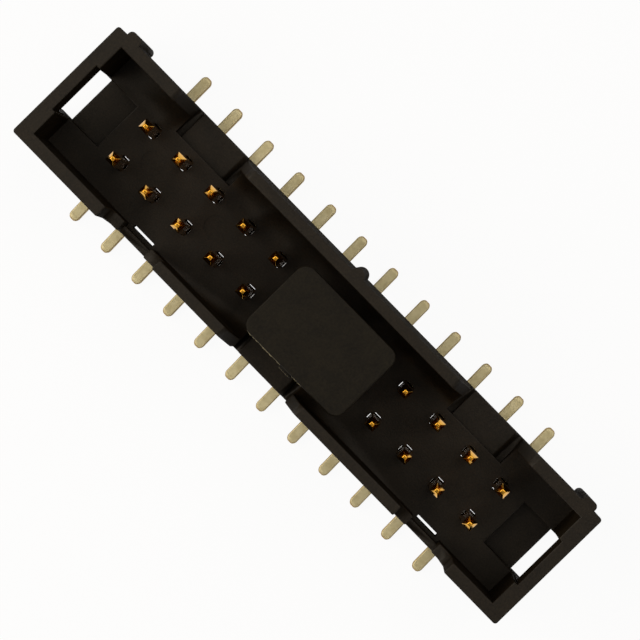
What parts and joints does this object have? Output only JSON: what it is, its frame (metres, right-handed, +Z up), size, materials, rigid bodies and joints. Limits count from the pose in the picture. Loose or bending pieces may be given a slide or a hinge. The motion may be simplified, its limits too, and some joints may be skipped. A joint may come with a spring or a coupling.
{
  "type": "idc box header",
  "caption": "Surface-mount box header: keyed black shroud round two rows of square pins with bent solder tails, pick-up cap fitted.",
  "frame": {"origin": "centre of the outline, on the solder plane under the solder tails", "axes": "+X along the rows towards the higher-numbered pins, +Y towards the wall with two key slots and three ribs, +Z up out of the shroud's mouth"},
  "size_m": [0.0376, 0.0112, 0.0091],
  "materials": {
    "housing_plastic": "moulded glass-filled thermoplastic, black, fine satin grain",
    "contact_wire": "copper alloy wire, gold plated at the mating end and matte tin plated on the solder tails",
    "cap_plastic": "moulded thermoplastic, dark grey, fine matt grain"
  },
  "bodies": {
    "root": {"housing": "housing_plastic", "pick_up_cap": "cap_plastic", "pin_a01": "contact_wire", "pin_a02": "contact_wire", "pin_a03": "contact_wire", "pin_a04": "contact_wire", "pin_a05": "contact_wire", "pin_a06": "contact_wire", "pin_a07": "contact_wire", "pin_a08": "contact_wire", "pin_a09": "contact_wire", "pin_a10": "contact_wire", "pin_a11": "contact_wire", "pin_a12": "contact_wire", "pin_b01": "contact_wire", "pin_b02": "contact_wire", "pin_b03": "contact_wire", "pin_b04": "contact_wire", "pin_b05": "contact_wire", "pin_b06": "contact_wire", "pin_b07": "contact_wire", "pin_b08": "contact_wire", "pin_b09": "contact_wire", "pin_b10": "contact_wire", "pin_b11": "contact_wire", "pin_b12": "contact_wire"}
  },
  "joints": []
}
